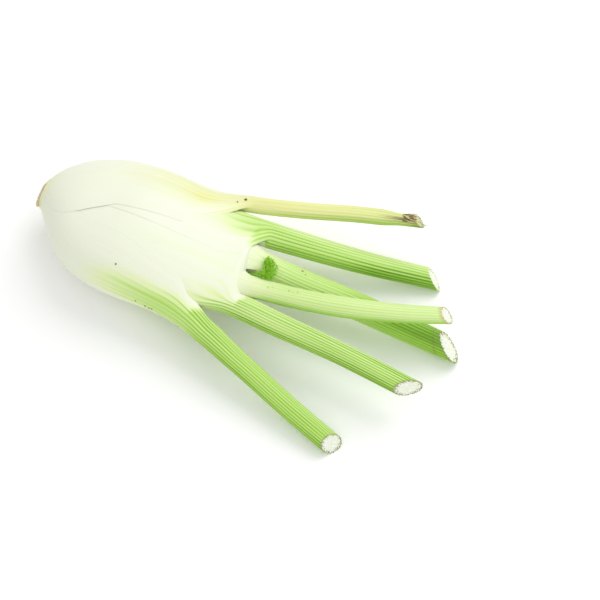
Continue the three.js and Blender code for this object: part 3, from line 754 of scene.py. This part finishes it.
class Nodes:
    """Short ways to add shader nodes to one material."""

    def __init__(self, name):
        self.material = bpy.data.materials.new(name)
        self.material.use_nodes = True
        self.tree = self.material.node_tree
        self.shader = self.tree.nodes["Principled BSDF"]

    def add(self, kind, inputs=(), **settings):
        node = self.tree.nodes.new(kind)
        for key, value in settings.items():
            setattr(node, key, value)
        for key, value in dict(inputs).items():
            self.set(node.inputs[key], value)
        return node

    def set(self, socket, value):
        if isinstance(value, bpy.types.NodeSocket):
            self.tree.links.new(value, socket)
        else:
            socket.default_value = value

    def attribute(self, name):
        node = self.add("ShaderNodeAttribute", attribute_name=name)
        return node.outputs["Vector"] if name == "grain" else node.outputs["Fac"]

    def math(self, operation, *values):
        node = self.add("ShaderNodeMath", operation=operation)
        for socket, value in zip(node.inputs, values):
            self.set(socket, value)
        return node.outputs[0]

    def sway(self, pattern, amount, middle):
        """The pattern less a half, times amount, plus middle."""
        return self.math("MULTIPLY_ADD", self.math("SUBTRACT", pattern, 0.5), amount, middle)

    def between(self, value, low, high, to_low=0.0, to_high=1.0):
        inputs = {"Value": value, "From Min": low, "From Max": high, "To Min": to_low, "To Max": to_high}
        return self.add("ShaderNodeMapRange", inputs, interpolation_type="SMOOTHSTEP").outputs[0]

    def scaled(self, vector, scale):
        return self.add("ShaderNodeVectorMath", {0: vector, 1: scale}, operation="MULTIPLY").outputs[0]

    def noise(self, vector, scale, detail=3.0, roughness=0.5):
        inputs = {"Vector": vector, "Scale": scale, "Detail": detail, "Roughness": roughness}
        return self.add("ShaderNodeTexNoise", inputs).outputs["Fac"]

    def ramp(self, value, stops):
        node = self.add("ShaderNodeValToRGB", {"Fac": value})
        elements = node.color_ramp.elements
        while len(elements) < len(stops):
            elements.new(0.5)
        for element, (place, colour) in zip(elements, stops):
            element.position = place
            element.color = (*colour, 1)
        return node.outputs["Color"]

    def blend(self, factor, a, b, kind="MIX"):
        node = self.add("ShaderNodeMix", data_type="RGBA", blend_type=kind)
        for socket, value in zip((node.inputs[0], node.inputs[6], node.inputs[7]), (factor, a, b)):
            if not isinstance(value, (bpy.types.NodeSocket, float, int)):
                value = (*value, 1)
            self.set(socket, value)
        return node.outputs[2]

    def surface(self, colour, roughness):
        self.set(self.shader.inputs["Base Color"], colour)
        self.set(self.shader.inputs["Roughness"], roughness)

    def bump(self, height, distance, strength):
        node = self.add("ShaderNodeBump", {"Height": height, "Distance": distance, "Strength": strength})
        self.set(self.shader.inputs["Normal"], node.outputs[0])

    def flesh_depth(self, weight, scale):
        """Light goes a little way into the flesh, given in metres."""
        self.shader.inputs["Subsurface Weight"].default_value = weight
        self.shader.inputs["Subsurface Scale"].default_value = scale


def leaf_skin(name, colours, lines, dried, pith):
    """White flesh that turns green with the attribute, streaked lengthwise, with darker grooves between the
    ribs, yellowed and browned where those attributes say, and on the cut face a white pith, fibrous across,
    with a ring of dots and a browned rim."""
    n = Nodes(name)
    grain, green = n.attribute("grain"), n.attribute("green")
    streak = n.noise(n.scaled(grain, (1, 1, 0.12)), 9.0, 4.0, 0.6)
    fine = n.noise(n.scaled(grain, (1, 1, 0.05)), 42.0, 3.0, 0.6)
    broad = n.noise(n.scaled(grain, (1, 1, 0.5)), 1.6, 2.0)
    marks = n.sway(streak, 0.6, -0.08)
    marks = n.sway(fine, 0.26, marks)
    marks = n.math("MULTIPLY_ADD", n.attribute("groove"), 0.32, marks)
    share = n.math("MULTIPLY", marks, n.between(green, 0.02, 0.4, 0.1 * lines, lines))
    tone = n.sway(broad, 0.14, n.math("ADD", green, share))
    skin = n.ramp(tone, [
        (0.0, colours.flesh),
        (0.18, colours.tinged),
        (0.4, colours.pale_green),
        (0.62, colours.green),
        (0.82, colours.rich_green),
        (1.0, colours.deep_green),
    ])
    yellow = n.blend(n.between(streak, 0.3, 0.75), colours.yellow, colours.straw)
    yellow = n.blend(n.between(tone, 0.25, 0.75, 0.0, 0.8), yellow, colours.rich_green)
    skin = n.blend(n.attribute("yellow"), skin, yellow)
    browned = n.math("MULTIPLY", n.attribute("brown"), n.between(streak, 0.3, 0.55))
    skin = n.blend(browned, skin, dried)
    cut, radius = n.attribute("cut"), n.attribute("radius")
    fibres = n.noise(n.scaled(grain, (9, 1.6, 0)), 2.2, 4.0, 0.6)
    pith = n.blend(n.between(fibres, 0.4, 0.62), pith, colours.fibrous)
    ring = n.math("MULTIPLY", n.between(radius, 0.66, 0.76), n.between(radius, 0.98, 0.92))
    cells = n.add("ShaderNodeTexVoronoi", {"Vector": n.scaled(grain, (1, 1, 0)), "Scale": 8.0})
    dots = cells.outputs["Distance"]
    dotted = n.math("MULTIPLY", ring, n.between(dots, 0.46, 0.28, 0.0, 0.85))
    pith = n.blend(dotted, pith, colours.strands)
    worn = n.math("MULTIPLY", n.between(radius, 0.84, 0.95), n.between(streak, 0.38, 0.52))
    pith = n.blend(worn, pith, dried)
    colour = n.blend(cut, skin, pith)
    n.surface(colour, n.between(fine, 0.2, 0.8, 0.34, 0.5))
    height = n.math("ADD", n.math("MULTIPLY", streak, 0.7), n.math("MULTIPLY", fine, 0.3))
    n.bump(n.blend(cut, height, fibres), 0.0006, 0.35)
    moist_flesh(n)
    return n.material


def speck_skin(name, colour, edge):
    """A small spot, darkest on top and fading to the skin's colour at its foot."""
    n = Nodes(name)
    place = n.add("ShaderNodeTexCoord").outputs["Object"]
    tone = n.sway(n.noise(place, 900.0), 0.5, n.attribute("along"))
    n.surface(n.ramp(tone, [(0.15, edge), (0.6, colour)]), n.between(tone, 0.2, 0.9, 0.5, 0.7))
    return n.material


def moist_flesh(n):
    """Light goes up to a millimetre into the flesh, and a little less of it in blue."""
    n.flesh_depth(0.05, 0.001)
    n.shader.inputs["Subsurface Radius"].default_value = (1.0, 1.0, 0.45)
    n.shader.inputs["IOR"].default_value = 1.4


def cork(name, colours):
    """Dry tan cork with brown and cream patches, paler towards its left side, and faint rings on the cut
    end."""
    n = Nodes(name)
    place = n.add("ShaderNodeTexCoord").outputs["Object"]
    patches = n.noise(place, 420.0, 5.0, 0.65)
    small = n.noise(place, 1900.0, 3.0, 0.6)
    rings = n.math("SINE", n.math("MULTIPLY", n.attribute("radius"), 34.0))
    tone = n.math("ADD", patches, n.math("MULTIPLY", n.math("MULTIPLY", rings, n.attribute("cut")), 0.05))
    tone = n.sway(small, 0.25, tone)
    across = n.add("ShaderNodeSeparateXYZ", {0: place}).outputs["Y"]
    tone = n.math("ADD", tone, n.between(across, 0.001, 0.009, 0.0, 0.3))
    colour = n.ramp(tone, [
        (0.25, colours.cork_dark), (0.42, colours.cork), (0.58, colours.cork), (0.75, colours.cork_pale),
    ])
    inside = n.between(n.attribute("along"), 3.0, 4.5)
    n.surface(n.blend(inside, colour, colours.flesh), n.between(small, 0.3, 0.7, 0.7, 0.9))
    n.bump(n.math("ADD", patches, small), 0.0008, 0.6)
    return n.material


def heart_flesh(name, colours):
    """Moist white flesh with a green tinge and faint lengthwise streaks."""
    n = Nodes(name)
    grain = n.attribute("grain")
    streak = n.noise(n.scaled(grain, (1, 1, 0.12)), 10.0, 4.0, 0.6)
    tone = n.sway(streak, 0.3, n.attribute("green"))
    colour = n.ramp(tone, [(0.0, colours.flesh), (0.3, colours.tinged), (0.8, colours.pale_green)])
    n.surface(colour, n.between(streak, 0.2, 0.8, 0.35, 0.5))
    n.bump(streak, 0.0005, 0.3)
    moist_flesh(n)
    return n.material


def frond_skin(name, colours):
    """Fresh bright green, darker at the foot of each leaflet and lighter at its tip."""
    n = Nodes(name)
    place = n.add("ShaderNodeTexCoord").outputs["Object"]
    uneven = n.noise(place, 600.0, 3.0)
    tone = n.sway(uneven, 0.6, n.attribute("along"))
    colour = n.ramp(tone, [(0.0, colours.frond_dark), (0.5, colours.frond), (1.0, colours.frond_tip)])
    n.surface(colour, n.between(uneven, 0.3, 0.7, 0.4, 0.55))
    n.flesh_depth(0.15, 0.0005)
    return n.material


def number_property(name, description, default, **kind):
    return bpy.props.FloatProperty(name=name, description=description, default=default, **kind)


class FennelSizes(bpy.types.PropertyGroup):
    half_width_left: number_property(
        "Half width, left", "From the bulb's middle to its left flank", 0.046, unit="LENGTH"
    )
    half_width_right: number_property(
        "Half width, right", "From the bulb's middle to its right flank", 0.0467, unit="LENGTH"
    )
    half_thickness: number_property(
        "Half thickness", "Half the bulb's thickness as it lies", 0.026, unit="LENGTH"
    )


def colour_property(name, description, default):
    return bpy.props.FloatVectorProperty(
        name=name, description=description, default=default, subtype="COLOR", size=3, min=0, max=1
    )


class FennelColours(bpy.types.PropertyGroup):
    flesh: colour_property("Flesh", "White leaf base", (0.8, 0.83, 0.68))
    tinged: colour_property("Tinged flesh", "White flesh with a green tinge", (0.73, 0.83, 0.44))
    pale_green: colour_property("Pale green", "Start of the stalks", (0.57, 0.76, 0.27))
    green: colour_property("Green", "Stalk", (0.42, 0.66, 0.13))
    rich_green: colour_property("Rich green", "Grooves of the stalks", (0.28, 0.52, 0.045))
    deep_green: colour_property("Deep green", "Shaded lower sides", (0.13, 0.3, 0.012))
    yellow: colour_property("Yellow", "Yellowed outer leaf", (0.8, 0.8, 0.38))
    pith: colour_property("Pith", "Cut stalk", (0.93, 0.94, 0.87))
    fibrous: colour_property("Fibrous pith", "Streaks across a cut stalk", (0.68, 0.75, 0.55))
    strands: colour_property("Strand dots", "Strands and rim of a cut stalk", (0.22, 0.2, 0.05))
    rim: colour_property("Rim", "Dried rim of a cut stalk", (0.45, 0.28, 0.1))
    straw: colour_property("Straw", "Darker streaks of the yellowed leaf", (0.68, 0.7, 0.24))
    brown: colour_property("Brown", "Withered end", (0.14, 0.08, 0.02))
    fibre: colour_property("Dry fibre", "Fibres of the withered end", (0.72, 0.62, 0.34))
    speck: colour_property("Speck", "Dark specks on the skin", (0.07, 0.05, 0.015))
    cork: colour_property("Cork", "Root plate", (0.7, 0.57, 0.34))
    cork_dark: colour_property("Dark cork", "Cracks of the root plate", (0.38, 0.26, 0.12))
    cork_pale: colour_property("Pale cork", "Cream patches of the root plate", (0.8, 0.73, 0.52))
    frond: colour_property("Frond", "Feathery leaflets", (0.36, 0.74, 0.015))
    frond_dark: colour_property("Dark frond", "Foot of the leaflets", (0.13, 0.42, 0.005))
    frond_tip: colour_property("Frond tip", "Tips of the leaflets", (0.56, 0.9, 0.12))


class FennelStage(bpy.types.PropertyGroup):
    lens: number_property("Lens", "Focal length of the camera in millimetres", 63.0)
    distance: number_property("Distance", "From the camera to the picture's middle", 0.6175, unit="LENGTH")
    azimuth: number_property(
        "Azimuth", "Where the camera stands round the bulb", math.radians(24), subtype="ANGLE"
    )
    elevation: number_property(
        "Elevation", "How far the camera looks down", math.radians(58), subtype="ANGLE"
    )
    key_power: number_property("Key light", "Power of the big soft light", 3.7)
    sky: number_property("Room light", "Strength of the even light", 0.78)


class FENNEL_OT_outer_leaves(bpy.types.Operator):
    """Builds the two outer leaves: the slim yellowed one and the green one with the flap"""

    bl_idname = "fennel.outer_leaves"
    bl_label = "Outer Leaves"

    def execute(self, context):
        form = Form(context.scene.fennel_sizes)
        colours = context.scene.fennel_colours
        build_leaf(form, 0, leaf_skin("Yellowed leaf skin", colours, 0.6, colours.brown, colours.straw))
        build_leaf(form, 1, leaf_skin("Outer leaf skin", colours, 1.0, colours.strands, colours.pith))
        build_fibres(form, speck_skin("Dry fibre", colours.fibre, colours.brown))
        spot = speck_skin("Dark speck", colours.speck, colours.brown)
        build_specks(form, 0, [121.7, 117.8], [84, 92], [1.0, 0.5], 0.15, spot)
        places = [75, 92, 98.5, 100.5, 103], [84, 14, 9, 6, 12]
        build_specks(form, 1, *places, [0.55, 0.4, 0.6, 0.45, 0.5], 0.12, spot)
        return {"FINISHED"}


class FENNEL_OT_middle_leaves(bpy.types.Operator):
    """Builds the two middle leaves with their broad ribbed stalks"""

    bl_idname = "fennel.middle_leaves"
    bl_label = "Middle Leaves"

    def execute(self, context):
        form = Form(context.scene.fennel_sizes)
        colours = context.scene.fennel_colours
        build_leaf(form, 2, leaf_skin("Striped leaf skin", colours, 1.1, colours.tinged, colours.pith))
        build_leaf(form, 3, leaf_skin("Ribbed leaf skin", colours, 1.6, colours.strands, colours.pith))
        return {"FINISHED"}


class FENNEL_OT_inner_leaves(bpy.types.Operator):
    """Builds the two inner leaves, whose stalks cross"""

    bl_idname = "fennel.inner_leaves"
    bl_label = "Inner Leaves"

    def execute(self, context):
        form = Form(context.scene.fennel_sizes)
        colours = context.scene.fennel_colours
        build_leaf(form, 4, leaf_skin("Inner leaf skin", colours, 0.6, colours.strands, colours.pith))
        build_leaf(form, 5, leaf_skin("Pale leaf skin", colours, 0.5, colours.rim, colours.pith))
        spot = speck_skin("Dark speck", colours.speck, colours.rim)
        build_specks(form, 4, [171.5, 174], [60, 72], [0.8, 0.4], 0.25, spot)
        bump = speck_skin("Pale bump", colours.tinged, colours.pale_green)
        places = [162.5, 165, 173, 175.5, 178], [84, 90, 95, 90, 98]
        build_specks(form, 5, *places, [0.6, 0.45, 0.6, 0.4, 0.5], 0.4, bump, "bumps")
        return {"FINISHED"}


class FENNEL_OT_heart(bpy.types.Operator):
    """Builds the young heart leaf and its feathery tip"""

    bl_idname = "fennel.heart"
    bl_label = "Heart Leaf and Frond"

    def execute(self, context):
        colours = context.scene.fennel_colours
        build_heart(Form(context.scene.fennel_sizes), heart_flesh("Heart flesh", colours))
        build_frond(frond_skin("Frond", colours))
        return {"FINISHED"}


class FENNEL_OT_root(bpy.types.Operator):
    """Builds the corky root plate with its core"""

    bl_idname = "fennel.root"
    bl_label = "Root Plate"

    def execute(self, context):
        build_root(Form(context.scene.fennel_sizes), cork("Cork", context.scene.fennel_colours))
        return {"FINISHED"}


class FENNEL_OT_stage(bpy.types.Operator):
    """Lays the pale floor and sets the soft lights and the camera"""

    bl_idname = "fennel.stage"
    bl_label = "Stage"

    def execute(self, context):
        scene = context.scene
        stage = scene.fennel_stage
        scene.view_settings.view_transform = "Standard"

        corners = np.array([[-1, -1, 0], [1, -1, 0], [1, 1, 0], [-1, 1, 0]]) * FLOOR_REACH
        corners = corners - [0, 0, 0.05]
        floor = put_mesh("floor", corners, np.array([[0, 1, 2, 3]]), [], {})
        paint = Nodes("Pale floor")
        paint.shader.inputs["Base Color"].default_value = (0.97, 0.97, 0.97, 1)
        paint.shader.inputs["Roughness"].default_value = 0.7
        floor.data.materials.append(paint.material)

        world = bpy.data.worlds.new("Soft room")
        world.use_nodes = True
        world.node_tree.nodes["Background"].inputs["Color"].default_value = (1, 1, 1, 1)
        world.node_tree.nodes["Background"].inputs["Strength"].default_value = stage.sky
        scene.world = world

        target = (Vector(PICTURE_MIDDLE) - Vector((REST_X, 0, 0))) * MM
        for name, place, size, power in (
            ("Key", (0.25, 0.55, 0.75), 0.7, stage.key_power),
            ("Fill", (0.55, -0.45, 0.5), 0.7, stage.key_power * 0.35),
        ):
            light = bpy.data.lights.new(name, "AREA")
            light.size = size
            light.energy = power
            lamp = bpy.data.objects.new(name, light)
            lamp.location = place
            lamp.rotation_euler = (target - Vector(place)).to_track_quat("-Z", "Y").to_euler()
            scene.collection.objects.link(lamp)

        a, e = stage.azimuth, stage.elevation
        back = Vector((math.sin(a) * math.cos(e), -math.cos(a) * math.cos(e), math.sin(e)))
        camera = bpy.data.cameras.new("Camera")
        camera.lens = stage.lens
        camera.sensor_width = 36
        camera.clip_start = 0.01
        view = bpy.data.objects.new("Camera", camera)
        view.location = target + back * stage.distance
        view.rotation_euler = (-back).to_track_quat("-Z", "Y").to_euler()
        scene.collection.objects.link(view)
        scene.camera = view
        return {"FINISHED"}


class FENNEL_PT_panel(bpy.types.Panel):
    """Lists the pieces of the fennel bulb"""

    bl_idname = "FENNEL_PT_panel"
    bl_label = "Fennel Bulb"
    bl_space_type = "VIEW_3D"
    bl_region_type = "UI"
    bl_category = "Fennel"

    def draw(self, context):
        for operator in OPERATORS:
            self.layout.operator(operator.bl_idname)


OPERATORS = (
    FENNEL_OT_outer_leaves,
    FENNEL_OT_middle_leaves,
    FENNEL_OT_inner_leaves,
    FENNEL_OT_heart,
    FENNEL_OT_root,
    FENNEL_OT_stage,
)
CLASSES = (FennelSizes, FennelColours, FennelStage, *OPERATORS, FENNEL_PT_panel)


def register():
    for cls in CLASSES:
        bpy.utils.register_class(cls)
    bpy.types.Scene.fennel_sizes = bpy.props.PointerProperty(type=FennelSizes)
    bpy.types.Scene.fennel_colours = bpy.props.PointerProperty(type=FennelColours)
    bpy.types.Scene.fennel_stage = bpy.props.PointerProperty(type=FennelStage)


def unregister():
    del bpy.types.Scene.fennel_stage
    del bpy.types.Scene.fennel_colours
    del bpy.types.Scene.fennel_sizes
    for cls in reversed(CLASSES):
        bpy.utils.unregister_class(cls)


def main():
    register()
    bpy.ops.fennel.outer_leaves()
    bpy.ops.fennel.middle_leaves()
    bpy.ops.fennel.inner_leaves()
    bpy.ops.fennel.heart()
    bpy.ops.fennel.root()
    bpy.ops.fennel.stage()


if __name__ == "__main__":
    main()
